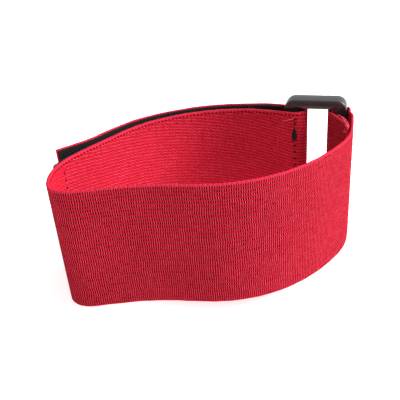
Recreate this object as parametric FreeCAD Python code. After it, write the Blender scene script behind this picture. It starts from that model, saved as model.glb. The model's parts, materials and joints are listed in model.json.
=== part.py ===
import FreeCAD, Part
import math, os

os.makedirs("parts", exist_ok=True)
V = FreeCAD.Vector

# ---------------------------------------------------------------- dimensions
# A woven-elastic wrist strap that closes through a moulded slot ring.
# The strap stands on its lower edge. Everything is first laid out in the
# strap's own square frame (plan x, y; height z from the lower edge), and the
# whole object is then tipped by TILT about Y, because the ring is taller than
# the strap is wide and lifts that end off the surface.
STRAP_W = 40.0          # width of the elastic
STRAP_T = 0.85          # thickness of the elastic
TILT = 4.2              # degrees, ring end raised
PILE_T = 1.90           # thickness of each hook or loop tape
PILE_GAP = 0.30         # free gap between the hooks and the loops at rest
TAPE_W = 39.2           # width of the tapes
THIN_TAPE_T = 0.35      # bare base of the loop tape where it runs under the ring
TIP_FLARE = 2.8         # how far the free tip stands off the tape under it
BUTT_GAP = 0.06         # gap across each living-hinge line of the tail

RING_W = 20.4           # across the two long bars
RING_BAR = 4.4          # width of a long bar
RING_T = 4.4            # thickness of the ring
RING_END_T = 5.8        # the end bars are a little deeper than the side bars
RING_END = 3.3          # height of each short bar
RING_TOP_GAP = 0.55     # strap's upper edge to the top bar
RING_LOW_GAP = 2.11     # strap's lower edge to the bottom bar
RING_R_OUT = 3.3        # outer corner radius
RING_R_IN = 0.6         # window corner radius
RING_FILLET = 0.35      # rounding of every long edge
RING_C = (41.9, 43.4)   # plan centre of the ring
RING_DIR = -15.0        # degrees, plan direction across the ring

STITCH_L = 1.75         # visible length of one stitch
STITCH_P = 2.55         # stitch pitch
STITCH_W = 0.42
STITCH_H = 0.26         # full height of a stitch body
STITCH_SINK = 0.12      # how much of it lies in the weave
SEAM_IN = 2.7           # seam line to strap edge

# Centre line of the main strap in plan, from its cut end inside the ring's
# right fold, round the right bar, along the front, round the left bend, along
# the back, through the ring's window and round its left bar.
CENTRE = [
    (48.55, 25.2), (48.95, 26.9), (49.0, 29.0), (48.55, 31.6), (47.7, 34.6), (46.85, 37.3),
    (45.93, 41.27), (46.32, 42.84), (46.70, 43.74), (47.06, 44.23), (47.44, 44.55), (47.89, 44.76), 
    (48.46, 44.87), (49.14, 44.84), (50.25, 44.60), (51.32, 44.26), (51.93, 43.94), (52.36, 43.56), 
    (52.64, 43.16), (52.82, 42.69), (52.88, 42.09), (52.78, 41.19), (52.36, 39.69), 
    (52.54, 36.60), (52.12, 34.18), (51.42, 31.09), (50.60, 27.69), (49.86, 24.99), (49.07, 22.61),
    (48.16, 20.47), (47.08, 18.47), (45.77, 16.46), (44.21, 14.41), (42.39, 12.27), (40.45, 10.16),
    (38.44, 8.16), (36.38, 6.28), (34.26, 4.52), (32.09, 2.89), (29.87, 1.40), (27.61, 0.05),
    (25.30, -1.15), (22.94, -2.19), (20.52, -3.09), (18.05, -3.84), (15.55, -4.44), (13.03, -4.87),
    (10.49, -5.14), (7.96, -5.25), (5.40, -5.19), (2.68, -4.97), (-0.29, -4.60), (-3.85, -4.07),
    (-7.21, -3.59), (-10.11, -3.25), (-12.82, -3.06), (-15.60, -3.00), (-18.51, -3.06),
    (-21.59, -3.22), (-24.90, -3.48), (-28.75, -3.84), (-31.65, -4.07), (-33.56, -4.03),
    (-35.22, -3.69), (-36.73, -3.06), (-37.97, -2.17), (-38.88, -1.05), (-39.56, 0.42),
    (-40.04, 2.29), (-40.33, 4.46), (-40.40, 6.67), (-40.25, 8.87), (-39.87, 11.00),
    (-39.28, 13.04), (-38.44, 15.04), (-37.37, 17.04), (-36.05, 19.05), (-34.46, 21.13),
    (-32.56, 23.39), (-30.17, 26.12), (-27.97, 28.69), (-25.53, 31.58), (-23.44, 33.97),
    (-21.48, 36.08), (-19.57, 37.95), (-17.65, 39.62), (-15.68, 41.10), (-13.59, 42.46),
    (-11.38, 43.68), (-9.07, 44.77), (-6.66, 45.74), (-4.16, 46.57), (-1.59, 47.27), (1.04, 47.84),
    (3.68, 48.26), (6.33, 48.54), (8.95, 48.67), (11.56, 48.64), (14.13, 48.46), (16.65, 48.12),
    (19.11, 47.63), (21.50, 46.97), (23.85, 46.13), (26.37, 45.07), (29.31, 43.69), (32.41, 42.22),
    (34.17, 41.54), (35.52, 41.35), (36.70, 41.60), (37.76, 42.28), (38.55, 43.30), (39.00, 44.57),
    (39.04, 45.85), (38.65, 47.00), (37.83, 48.01), (36.66, 48.78), (35.27, 49.22), (33.83, 49.29),
]

# ------------------------------------------------------------- plan helpers
def spline(points):
    c = Part.BSplineCurve()
    c.interpolate([V(x, y, 0) for x, y in points])
    return c


class Path(object):
    """A plan curve that can be read by arc length, with its left-hand normal."""

    def __init__(self, points, steps=1600):
        self.c = spline(points)
        a, b = self.c.FirstParameter, self.c.LastParameter
        self.u = [a + (b - a) * i / steps for i in range(steps + 1)]
        self.p = [self.c.value(u) for u in self.u]
        self.s = [0.0]
        for i in range(steps):
            self.s.append(self.s[-1] + (self.p[i + 1] - self.p[i]).Length)
        self.length = self.s[-1]

    def at(self, s):
        s = max(0.0, min(self.length, s))
        lo, hi = 0, len(self.s) - 1
        while hi - lo > 1:
            m = (lo + hi) // 2
            if self.s[m] <= s:
                lo = m
            else:
                hi = m
        f = (s - self.s[lo]) / max(1e-9, self.s[hi] - self.s[lo])
        u = self.u[lo] + f * (self.u[hi] - self.u[lo])
        t = V(self.c.tangent(u)[0])
        t.normalize()
        return self.c.value(u), t, V(-t.y, t.x, 0)

    def nearest(self, x, y, lo=0.0, hi=None):
        hi = self.length if hi is None else hi
        best = None
        for s, p in zip(self.s, self.p):
            if lo <= s <= hi:
                d = (p.x - x) ** 2 + (p.y - y) ** 2
                if best is None or d < best[0]:
                    best = (d, s)
        return best[1]


def strip(path, s0, s1, d0, d1, step=1.8):
    """Plan outline between two offsets of a path, from s0 to s1."""
    n = max(4, int(abs(s1 - s0) / step))
    a, b = [], []
    for i in range(n + 1):
        s = s0 + (s1 - s0) * i / n
        p, t, m = path.at(s)
        o0 = d0(s) if callable(d0) else d0
        o1 = d1(s) if callable(d1) else d1
        a.append((p.x + m.x * o0, p.y + m.y * o0))
        b.append((p.x + m.x * o1, p.y + m.y * o1))
    ea = spline(a).toShape()
    eb = spline(b).toShape()
    pa0, pa1, pb0, pb1 = V(*a[0], 0), V(*a[-1], 0), V(*b[0], 0), V(*b[-1], 0)
    w = Part.Wire(Part.__sortEdges__([ea, Part.makeLine(pa1, pb1), eb, Part.makeLine(pb0, pa0)]))
    return Part.Face(w)


def wall(face, z0, z1):
    f = face.copy()
    f.translate(V(0, 0, z0))
    return f.extrude(V(0, 0, z1 - z0))


def stitch(p, along, out, up, length, width=STITCH_W):
    """A rounded thread bar lying on a face: along its run, out of the face."""
    b = Part.makeBox(length, width, STITCH_H, V(-length / 2, -width / 2, -STITCH_SINK))
    b = b.makeChamfer(0.09, [e for e in b.Edges if abs(e.BoundBox.ZMin - (STITCH_H - STITCH_SINK)) < 1e-6
                             and abs(e.BoundBox.ZMax - (STITCH_H - STITCH_SINK)) < 1e-6])
    side = out.cross(along)
    m = FreeCAD.Matrix(along.x, side.x, out.x, p.x, along.y, side.y, out.y, p.y,
                       along.z, side.z, out.z, p.z, 0, 0, 0, 1)
    b.transformShape(m, True)
    return b


def seam_row(path, s0, s1, z, off, sign, pitch=STITCH_P, length=STITCH_L):
    """Stitches along the strap at height z, on the face at offset off."""
    out = []
    n = max(1, int(round(abs(s1 - s0) / pitch)))
    for i in range(n + 1):
        s = s0 + (s1 - s0) * i / n
        p, t, m = path.at(s)
        o = off(s) if callable(off) else off
        q = V(p.x + m.x * o, p.y + m.y * o, z)
        out.append(stitch(q, t, m * sign, V(0, 0, 1), length))
    return out


def seam_column(path, s, z0, z1, off, sign, pitch=STITCH_P, length=STITCH_L):
    """Stitches across the strap at arc length s."""
    out = []
    n = max(1, int(round((z1 - z0) / pitch)))
    p, t, m = path.at(s)
    o = off(s) if callable(off) else off
    for i in range(n + 1):
        q = V(p.x + m.x * o, p.y + m.y * o, z0 + (z1 - z0) * i / n)
        out.append(stitch(q, V(0, 0, 1), m * sign, V(0, 0, 1), length))
    return out


def rod(points, r):
    """A thin round thread through 3-D points, as straight runs with ball joints."""
    body = None
    for a, b in zip(points[:-1], points[1:]):
        a, b = V(*a), V(*b)
        c = Part.makeCylinder(r, (b - a).Length, a, b - a)
        body = c if body is None else body.fuse(c)
    for a in points:
        body = body.fuse(Part.makeSphere(r, V(*a)))
    return body.removeSplitter()


NODES = {}
T2 = STRAP_T / 2.0

# --------------------------------------------------------------- main strap
band = Path(CENTRE)
# Travelling along CENTRE, the left-hand normal points out of the loop on the
# front and back panels... its sign is settled here from the left bend.
p, t, m = band.at(band.nearest(-40.4, 6.7, 60, 180))
OUT = 1.0 if m.x < 0 else -1.0
NODES["elastic_band"] = wall(strip(band, 0.0, band.length, -T2, T2, step=1.5), 0.0, STRAP_W)

# ---------------------------------------------------------------- loop tape
s_loop0 = band.nearest(-38.0, 16.3, 120, 200) - 4.2
s_thin = band.nearest(30.2, 43.3, 180, 250)
s_loop1 = band.nearest(35.2, 41.4, 220, 256)
z_tape = (STRAP_W - TAPE_W) / 2.0
pile = wall(strip(band, s_loop0, s_thin, OUT * T2, OUT * (T2 + PILE_T)), z_tape, z_tape + TAPE_W)
thin = wall(strip(band, s_thin - 0.4, s_loop1, OUT * T2, OUT * (T2 + THIN_TAPE_T), step=0.9),
            z_tape, z_tape + TAPE_W)
NODES["loop_tape"] = pile.fuse(thin).removeSplitter()

# --------------------------------------------------------------------- tail
# The tail leaves the left fold and lies back along the outside of the loop
# tape; its centre line is an offset of the strap's, with the tip standing off.
LIE = STRAP_T + 2 * PILE_T + PILE_GAP
s_far = band.nearest(-35.9, 19.3, 120, 200)
tail_pts = [(36.66, 48.78), (35.27, 49.22), (33.83, 49.29)]
s_join = band.nearest(22.6, 46.6, 180, 240)
n_t = 34
for i in range(n_t + 1):
    s = s_join + (s_far - s_join) * i / n_t
    p, t, m = band.at(s)
    f = i / float(n_t)
    flare = TIP_FLARE * max(0.0, (f - 0.80) / 0.20) ** 1.7
    start = 0.9 * max(0.0, 1 - f / 0.10) ** 2
    d = OUT * (LIE + flare + start)
    tail_pts.append((p.x + m.x * d, p.y + m.y * d))
tail = Path(tail_pts)
p, t, m = tail.at(tail.length * 0.5)
TOUT = 1.0 if m.y > 0 else -1.0           # outward side of the tail
s0 = tail.nearest(33.83, 49.29)            # where the fold hands over to the tail
s_end = tail.length
span = s_end - s0
cuts = [s0, s0 + span * 0.335, s0 + span * 0.668, s_end]
names = ["tail_root", "tail_middle", "tail_tip"]
hinges = []
for k, name in enumerate(names):
    a = cuts[k] + (BUTT_GAP / 2 if k else 0.30)
    b = cuts[k + 1] - (BUTT_GAP / 2 if k < 2 else 0.0)
    NODES[name] = wall(strip(tail, a, b, -T2, T2), 0.0, STRAP_W)
    h0 = a if k else s0 + 2.4               # hook tape starts just past the fold
    h1 = b
    NODES["hook_" + name.split("_")[1]] = wall(
        strip(tail, h0, h1, -TOUT * (T2 + PILE_T), -TOUT * T2), z_tape, z_tape + TAPE_W)
    # seam of the hook tape, showing on the strap's outer face
    rows = []
    r0, r1 = h0 + (0.6 if k == 0 else 1.5), h1 - (1.5 if k < 2 else 2.2)
    for z in (SEAM_IN, STRAP_W - SEAM_IN):
        rows += seam_row(tail, r0 + (1.2 if k == 0 else 0), r1, z, TOUT * T2, TOUT)
    if k == 0:
        rows += seam_column(tail, h0 + 0.6, SEAM_IN + 2.2, STRAP_W - SEAM_IN - 2.2, TOUT * T2, TOUT)
    if k == 2:
        rows += seam_column(tail, h1 - 0.9, SEAM_IN, STRAP_W - SEAM_IN, TOUT * T2, TOUT)
    NODES["hook_seam_" + name.split("_")[1]] = Part.makeCompound(rows)
    p, t, m = tail.at(cuts[k])
    hinges.append((p.x + m.x * TOUT * T2, p.y + m.y * TOUT * T2))

# --------------------------------------------------------- seams on the band
rows = []
for z in (SEAM_IN, STRAP_W - SEAM_IN):
    rows += seam_row(band, s_loop0 + 3.2, s_loop1 - 3.4, z, -OUT * T2, -OUT)
rows += seam_column(band, s_loop0 + 1.2, 3.6, STRAP_W - 3.6, -OUT * T2, -OUT)
s_col = band.nearest(34.55, 41.45, 220, 256)
for z0_, z1_ in ((3.2, 28.0), (35.9, 37.6)):
    rows += seam_column(band, s_col, z0_, z1_, -OUT * T2, -OUT)
NODES["loop_tape_seam"] = Part.makeCompound(rows)

# fold seam: one row through the lapped cut end and the front strap
s_lap = band.nearest(48.8, 26.2, 0, 12)
s_front = band.nearest(50.05, 25.7, 40, 90)
p, t, m = band.at(s_lap)
side = 1.0 if m.x < 0 else -1.0             # face of the lap seen from inside
rows = seam_column(band, s_lap, 3.0, STRAP_W - 3.0, side * T2, side)
rows += seam_column(band, s_front, 3.0, STRAP_W - 3.0, OUT * T2, OUT)
NODES["fold_seam"] = Part.makeCompound(rows)

# backtack: a thick knot of thread across the end of the tape seam
p, t, m = band.at(s_col)
q = V(p.x - m.x * OUT * (T2 + 0.10), p.y - m.y * OUT * (T2 + 0.10), 32.3)
knot = Part.makeSphere(1.0)
mt = FreeCAD.Matrix(t.x * 0.85, 0, -m.x * OUT * 0.42, q.x, t.y * 0.85, 0, -m.y * OUT * 0.42, q.y,
                    0, 2.55, 0, q.z, 0, 0, 0, 1)
NODES["backtack"] = knot.transformGeometry(mt)

# loose thread end: a short curl standing off the inner face
base = []
for s_off, dz, lift in ((-0.2, 0.9, 0.10), (-0.9, 0.35, 0.35), (-1.8, 0.05, 0.50), (-2.8, -0.05, 0.45),
                        (-3.5, -0.35, 0.30), (-3.3, -0.75, 0.25)):
    p, t, m = band.at(s_col + s_off)
    base.append((p.x - m.x * OUT * (T2 + lift), p.y - m.y * OUT * (T2 + lift), 37.4 + dz))
NODES["loose_thread"] = rod(base, 0.14)

# frayed cut end: a few stray fibres above the lap
fr = []
for pts in (
    [(48.75, 30.0, 39.6), (48.55, 31.2, 40.5), (48.35, 32.8, 41.0), (48.2, 34.2, 40.9)],
    [(49.6, 28.2, 39.7), (49.75, 29.9, 40.6), (49.5, 31.9, 41.1), (49.0, 33.3, 40.9)],
    [(48.7, 26.0, 39.7), (48.2, 25.6, 40.4), (47.6, 25.9, 40.6)],
    [(49.0, 27.2, 39.6), (49.6, 26.3, 40.5), (50.3, 25.9, 40.7)],
):
    fr.append(rod(pts, 0.13))
NODES["frayed_end"] = Part.makeCompound(fr)

# --------------------------------------------------------------------- ring
# Rectangular slot ring: outline in its own (u, z) plane, thickness along v.
def rounded(w, z0, z1, r):
    h = w / 2.0
    k = r * (1 - math.sqrt(0.5))
    P = [V(-h + r, 0, z0), V(h - r, 0, z0), V(h, 0, z0 + r), V(h, 0, z1 - r),
         V(h - r, 0, z1), V(-h + r, 0, z1), V(-h, 0, z1 - r), V(-h, 0, z0 + r)]
    M = [V(h - k, 0, z0 + k), V(h - k, 0, z1 - k), V(-h + k, 0, z1 - k), V(-h + k, 0, z0 + k)]
    e = [Part.makeLine(P[0], P[1]), Part.Arc(P[1], M[0], P[2]).toShape(),
         Part.makeLine(P[2], P[3]), Part.Arc(P[3], M[1], P[4]).toShape(),
         Part.makeLine(P[4], P[5]), Part.Arc(P[5], M[2], P[6]).toShape(),
         Part.makeLine(P[6], P[7]), Part.Arc(P[7], M[3], P[0]).toShape()]
    f = Part.Face(Part.Wire(e))
    f.translate(V(0, -RING_T / 2, 0))
    return f.extrude(V(0, RING_T, 0))

win0, win1 = -RING_LOW_GAP, STRAP_W + RING_TOP_GAP
outer = rounded(RING_W, win0 - RING_END, win1 + RING_END, RING_R_OUT)
inner = rounded(RING_W - 2 * RING_BAR, win0, win1, RING_R_IN)
ring = outer.cut(inner)
edges = [e for e in ring.Edges if abs(abs(e.BoundBox.YMin) - RING_T / 2) < 1e-4
         and abs(e.BoundBox.YMax - e.BoundBox.YMin) < 1e-4]
ring = ring.makeFillet(RING_FILLET, edges)
# the two end bars stand a little proud of the side bars, front and back
for z0_, z1_ in ((win1, win1 + RING_END), (win0 - RING_END, win0)):
    block = rounded(RING_W, win0 - RING_END, win1 + RING_END, RING_R_OUT)
    half = Part.makeBox(RING_W + 2, RING_T + 2, z1_ - z0_, V(-RING_W / 2 - 1, -RING_T / 2 - 1, z0_))
    face = [f for f in block.common(half).Faces if abs(f.BoundBox.YMax - f.BoundBox.YMin) < 1e-6 and f.BoundBox.YMin < 0][0]
    face.translate(V(0, RING_T / 2 - RING_END_T / 2, 0))
    bar = face.extrude(V(0, RING_END_T, 0))
    long_edges = [e for e in bar.Edges if abs(abs(e.BoundBox.YMin) - RING_END_T / 2) < 1e-4
                  and abs(e.BoundBox.YMax - e.BoundBox.YMin) < 1e-4]
    bar = bar.makeFillet(RING_FILLET, long_edges)
    ring = ring.fuse(bar)
ring = ring.removeSplitter()
ring.rotate(V(0, 0, 0), V(0, 0, 1), RING_DIR)
ring.translate(V(RING_C[0], RING_C[1], 0))
NODES["ring_buckle"] = ring
a = math.radians(RING_DIR)
bar_u = RING_W / 2 - RING_BAR / 2
ring_axis = (RING_C[0] + bar_u * math.cos(a), RING_C[1] + bar_u * math.sin(a))

# --------------------------------------------------- tip, settle and write
for n, s in NODES.items():
    s.rotate(V(0, 0, 0), V(0, 1, 0), -TILT)
box = None
for s in NODES.values():
    b = s.BoundBox
    box = b if box is None else box.united(b)
shift = V(-(box.XMin + box.XMax) / 2, -(box.YMin + box.YMax) / 2, -box.ZMin)
for n, s in sorted(NODES.items()):
    s.translate(shift)
    s.exportStep("parts/%s.step" % n)
    b = s.BoundBox
    print("%-18s solids %3d vol %9.2f valid %s  z %.2f..%.2f x %.2f..%.2f y %.2f..%.2f" % (
        n, len(s.Solids), s.Volume, s.isValid(), b.ZMin, b.ZMax, b.XMin, b.XMax, b.YMin, b.YMax))

ct, st = math.cos(math.radians(TILT)), math.sin(math.radians(TILT))
def placed(x, y, z):
    return (x * ct - z * st + shift.x, y + shift.y, x * st + z * ct + shift.z)
print("shift", shift, "axis", (-st, 0, ct), "size", box.XLength, box.YLength, box.ZLength)
print("ring hinge", placed(ring_axis[0], ring_axis[1], STRAP_W / 2))
for n, h in zip(names, hinges):
    print("hinge", n, placed(h[0], h[1], STRAP_W / 2))
print("lengths band %.1f tail %.1f" % (band.length, span))
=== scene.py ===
import bpy, json, math, random
import numpy as np
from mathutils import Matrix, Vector


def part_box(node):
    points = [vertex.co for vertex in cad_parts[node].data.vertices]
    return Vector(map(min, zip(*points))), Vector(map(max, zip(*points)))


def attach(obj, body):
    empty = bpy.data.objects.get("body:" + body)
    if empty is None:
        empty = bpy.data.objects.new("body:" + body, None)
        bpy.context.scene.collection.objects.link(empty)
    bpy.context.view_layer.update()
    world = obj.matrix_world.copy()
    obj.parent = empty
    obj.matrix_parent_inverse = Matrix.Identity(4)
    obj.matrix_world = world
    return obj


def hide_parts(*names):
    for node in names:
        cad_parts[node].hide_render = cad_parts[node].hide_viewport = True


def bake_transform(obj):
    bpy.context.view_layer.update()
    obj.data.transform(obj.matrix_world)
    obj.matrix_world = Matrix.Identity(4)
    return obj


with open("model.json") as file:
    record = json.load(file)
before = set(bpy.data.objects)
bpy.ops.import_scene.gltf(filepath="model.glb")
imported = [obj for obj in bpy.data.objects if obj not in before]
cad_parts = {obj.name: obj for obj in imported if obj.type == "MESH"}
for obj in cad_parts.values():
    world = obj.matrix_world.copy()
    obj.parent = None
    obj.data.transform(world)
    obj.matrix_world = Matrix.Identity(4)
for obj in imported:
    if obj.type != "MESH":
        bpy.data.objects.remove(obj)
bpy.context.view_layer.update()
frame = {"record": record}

# ------------------------------------------------------------------ the strap's own frame
W, T = 40.0, 0.85                       # elastic: width and thickness, mm
T2 = T / 2
TILT = 4.2
PILE, GAP, TAPE_W, THIN = 1.90, 0.30, 39.2, 0.35
COL, ROW = 0.643, 40.0 / 35.0           # weave pitch along and across the strap
CT, ST = math.cos(math.radians(TILT)), math.sin(math.radians(TILT))
RING_W, RING_BAR, RING_T, RING_END, RING_END_T = 20.4, 4.4, 4.4, 3.3, 5.8
WIN0, WIN1 = -2.11, 40.55
RING_C, RING_DIR = (41.9, 43.4), math.radians(-15.0)

lo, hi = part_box("ring_buckle")
mid = (Vector(lo) + Vector(hi)) * 500.0
rx, ry, rz = RING_C[0], RING_C[1], (WIN0 + WIN1) / 2
SHIFT = (mid.x - (rx * CT - rz * ST), mid.y - ry, mid.z - (rx * ST + rz * CT))


def place(P):
    """Strap frame (mm) to the row frame (m)."""
    P = np.asarray(P, float)
    x, y, z = P[..., 0], P[..., 1], P[..., 2]
    return np.stack([(x * CT - z * ST + SHIFT[0]) / 1000,
                     (y + SHIFT[1]) / 1000,
                     (x * ST + z * CT + SHIFT[2]) / 1000], axis=-1)


CENTRE = [
    (48.55, 25.2), (48.95, 26.9), (49.0, 29.0), (48.55, 31.6), (47.7, 34.6), (46.85, 37.3),
    (45.93, 41.27), (46.32, 42.84), (46.70, 43.74), (47.06, 44.23), (47.44, 44.55), (47.89, 44.76),
    (48.46, 44.87), (49.14, 44.84), (50.25, 44.60), (51.32, 44.26), (51.93, 43.94), (52.36, 43.56),
    (52.64, 43.16), (52.82, 42.69), (52.88, 42.09), (52.78, 41.19), (52.36, 39.69),
    (52.54, 36.60), (52.12, 34.18), (51.42, 31.09), (50.60, 27.69), (49.86, 24.99), (49.07, 22.61),
    (48.16, 20.47), (47.08, 18.47), (45.77, 16.46), (44.21, 14.41), (42.39, 12.27), (40.45, 10.16),
    (38.44, 8.16), (36.38, 6.28), (34.26, 4.52), (32.09, 2.89), (29.87, 1.40), (27.61, 0.05),
    (25.30, -1.15), (22.94, -2.19), (20.52, -3.09), (18.05, -3.84), (15.55, -4.44), (13.03, -4.87),
    (10.49, -5.14), (7.96, -5.25), (5.40, -5.19), (2.68, -4.97), (-0.29, -4.60), (-3.85, -4.07),
    (-7.21, -3.59), (-10.11, -3.25), (-12.82, -3.06), (-15.60, -3.00), (-18.51, -3.06),
    (-21.59, -3.22), (-24.90, -3.48), (-28.75, -3.84), (-31.65, -4.07), (-33.56, -4.03),
    (-35.22, -3.69), (-36.73, -3.06), (-37.97, -2.17), (-38.88, -1.05), (-39.56, 0.42),
    (-40.04, 2.29), (-40.33, 4.46), (-40.40, 6.67), (-40.25, 8.87), (-39.87, 11.00),
    (-39.28, 13.04), (-38.44, 15.04), (-37.37, 17.04), (-36.05, 19.05), (-34.46, 21.13),
    (-32.56, 23.39), (-30.17, 26.12), (-27.97, 28.69), (-25.53, 31.58), (-23.44, 33.97),
    (-21.48, 36.08), (-19.57, 37.95), (-17.65, 39.62), (-15.68, 41.10), (-13.59, 42.46),
    (-11.38, 43.68), (-9.07, 44.77), (-6.66, 45.74), (-4.16, 46.57), (-1.59, 47.27), (1.04, 47.84),
    (3.68, 48.26), (6.33, 48.54), (8.95, 48.67), (11.56, 48.64), (14.13, 48.46), (16.65, 48.12),
    (19.11, 47.63), (21.50, 46.97), (23.85, 46.13), (26.37, 45.07), (29.31, 43.69), (32.41, 42.22),
    (34.17, 41.54), (35.52, 41.35), (36.70, 41.60), (37.76, 42.28), (38.55, 43.30), (39.00, 44.57),
    (39.04, 45.85), (38.65, 47.00), (37.83, 48.01), (36.66, 48.78), (35.27, 49.22), (33.83, 49.29),
]


class Path:
    """C2 cubic through plan points, read by arc length."""

    def __init__(self, pts, n=6000):
        P = np.array(pts, float)
        t = np.r_[0, np.cumsum(np.linalg.norm(np.diff(P, axis=0), axis=1))]
        h = np.diff(t)
        m = len(P)
        A = np.zeros((m, m)); R = np.zeros((m, 2))
        A[0, 0] = A[-1, -1] = 1
        for i in range(1, m - 1):
            A[i, i - 1], A[i, i], A[i, i + 1] = h[i - 1], 2 * (h[i - 1] + h[i]), h[i]
            R[i] = 6 * ((P[i + 1] - P[i]) / h[i] - (P[i] - P[i - 1]) / h[i - 1])
        M = np.linalg.solve(A, R)
        q = np.linspace(0, t[-1], n)
        k = np.clip(np.searchsorted(t, q) - 1, 0, m - 2)
        a = (t[k + 1] - q)[:, None]; b = (q - t[k])[:, None]; hk = h[k][:, None]
        self.p = (M[k] * a ** 3 + M[k + 1] * b ** 3) / (6 * hk) + (P[k] / hk - M[k] * hk / 6) * a \
            + (P[k + 1] / hk - M[k + 1] * hk / 6) * b
        self.s = np.r_[0, np.cumsum(np.linalg.norm(np.diff(self.p, axis=0), axis=1))]
        d = np.gradient(self.p, axis=0)
        self.t = d / np.linalg.norm(d, axis=1)[:, None]
        self.length = self.s[-1]

    def at(self, s):
        s = np.asarray(s, float)
        x = np.interp(s, self.s, self.p[:, 0]); y = np.interp(s, self.s, self.p[:, 1])
        tx = np.interp(s, self.s, self.t[:, 0]); ty = np.interp(s, self.s, self.t[:, 1])
        l = np.hypot(tx, ty)
        tx, ty = tx / l, ty / l
        # beyond the ends the path runs on straight
        over = np.maximum(s - self.length, 0) + np.minimum(s, 0)
        return np.stack([x + tx * over, y + ty * over], -1), np.stack([tx, ty], -1), np.stack([-ty, tx], -1)

    def nearest(self, x, y, lo=0.0, hi=1e9):
        d = (self.p[:, 0] - x) ** 2 + (self.p[:, 1] - y) ** 2
        d = np.where((self.s >= lo) & (self.s <= hi), d, 1e9)
        return float(self.s[int(np.argmin(d))])


band = Path(CENTRE)
OUT = 1.0 if band.at(band.nearest(-40.4, 6.7, 60, 180))[2][0] < 0 else -1.0
s_loop0 = band.nearest(-38.0, 16.3, 120, 200) - 4.2
s_thin = band.nearest(30.2, 43.3, 180, 250)
s_loop1 = band.nearest(35.2, 41.4, 220, 256)
s_col = band.nearest(34.55, 41.45, 220, 256)
s_far = band.nearest(-35.9, 19.3, 120, 200)
s_join = band.nearest(22.6, 46.6, 180, 240)
LIE = T + 2 * PILE + GAP
tail_pts = [(36.66, 48.78), (35.27, 49.22), (33.83, 49.29)]
for i in range(35):
    f = i / 34.0
    p, t, m = band.at(s_join + (s_far - s_join) * f)
    d = OUT * (LIE + 2.8 * max(0.0, (f - 0.80) / 0.20) ** 1.7 + 0.9 * max(0.0, 1 - f / 0.10) ** 2)
    tail_pts.append((p[0] + m[0] * d, p[1] + m[1] * d))
tail = Path(tail_pts)
TOUT = 1.0 if tail.at(tail.length * 0.5)[2][1] > 0 else -1.0
t0 = tail.nearest(33.83, 49.29)
span = tail.length - t0
CUT = [t0, t0 + span * 0.335, t0 + span * 0.668, tail.length]

# one strip: the band's centre line runs on into the tail's
whole_pts = [tuple(x) for x in CENTRE] + tail_pts[3:]
strip = Path(whole_pts, 9000)
S_END = strip.nearest(33.83, 49.29, 240)
S_HOOK0 = S_END


def rng(seed):
    return np.random.default_rng(seed)


def smooth_noise(n, cells, seed):
    """Periodic-free 1-D value noise, n samples, about `cells` bumps, range -1..1."""
    r = rng(seed).uniform(-1, 1, cells + 3)
    x = np.linspace(0, cells, n)
    k = x.astype(int); f = x - k; f = f * f * (3 - 2 * f)
    return r[k] * (1 - f) + r[k + 1] * f


# ------------------------------------------------------------------ mesh helpers
def make_mesh(name, verts, faces, mats, uv=None, tris=(), tri_uv=(), flat_from=None):
    """Quads, then any triangles. uv is per vertex, or per corner in the faces' order."""
    me = bpy.data.meshes.new(name)
    faces = np.asarray(faces, np.int32)
    tris = np.asarray(tris, np.int32).reshape(-1, 3)
    nq, nt = len(faces), len(tris)
    idx = np.r_[faces.ravel(), tris.ravel()].astype(np.int32)
    me.vertices.add(len(verts))
    me.vertices.foreach_set("co", np.asarray(verts, np.float32).ravel())
    me.loops.add(len(idx))
    me.loops.foreach_set("vertex_index", idx)
    me.polygons.add(nq + nt)
    me.polygons.foreach_set("loop_start", np.r_[np.arange(nq) * 4, nq * 4 + np.arange(nt) * 3].astype(np.int32))
    me.polygons.foreach_set("loop_total", np.r_[np.full(nq, 4), np.full(nt, 3)].astype(np.int32))
    me.update(calc_edges=True)
    if uv is not None:
        uv = np.asarray(uv, np.float32).reshape(-1, 2)
        l = me.uv_layers.new(name="weave")
        full = uv[idx] if len(uv) == len(verts) else np.vstack([uv, np.asarray(tri_uv, np.float32).reshape(-1, 2)])
        l.data.foreach_set("uv", full.astype(np.float32).ravel())
    me.materials.append(mats)
    sm = np.ones(nq + nt, bool)
    if flat_from is not None:
        sm[flat_from:] = False
    me.polygons.foreach_set("use_smooth", sm)
    me.validate(clean_customdata=False)
    me.update()
    o = bpy.data.objects.new(name, me)
    bpy.context.scene.collection.objects.link(o)
    return o


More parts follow.
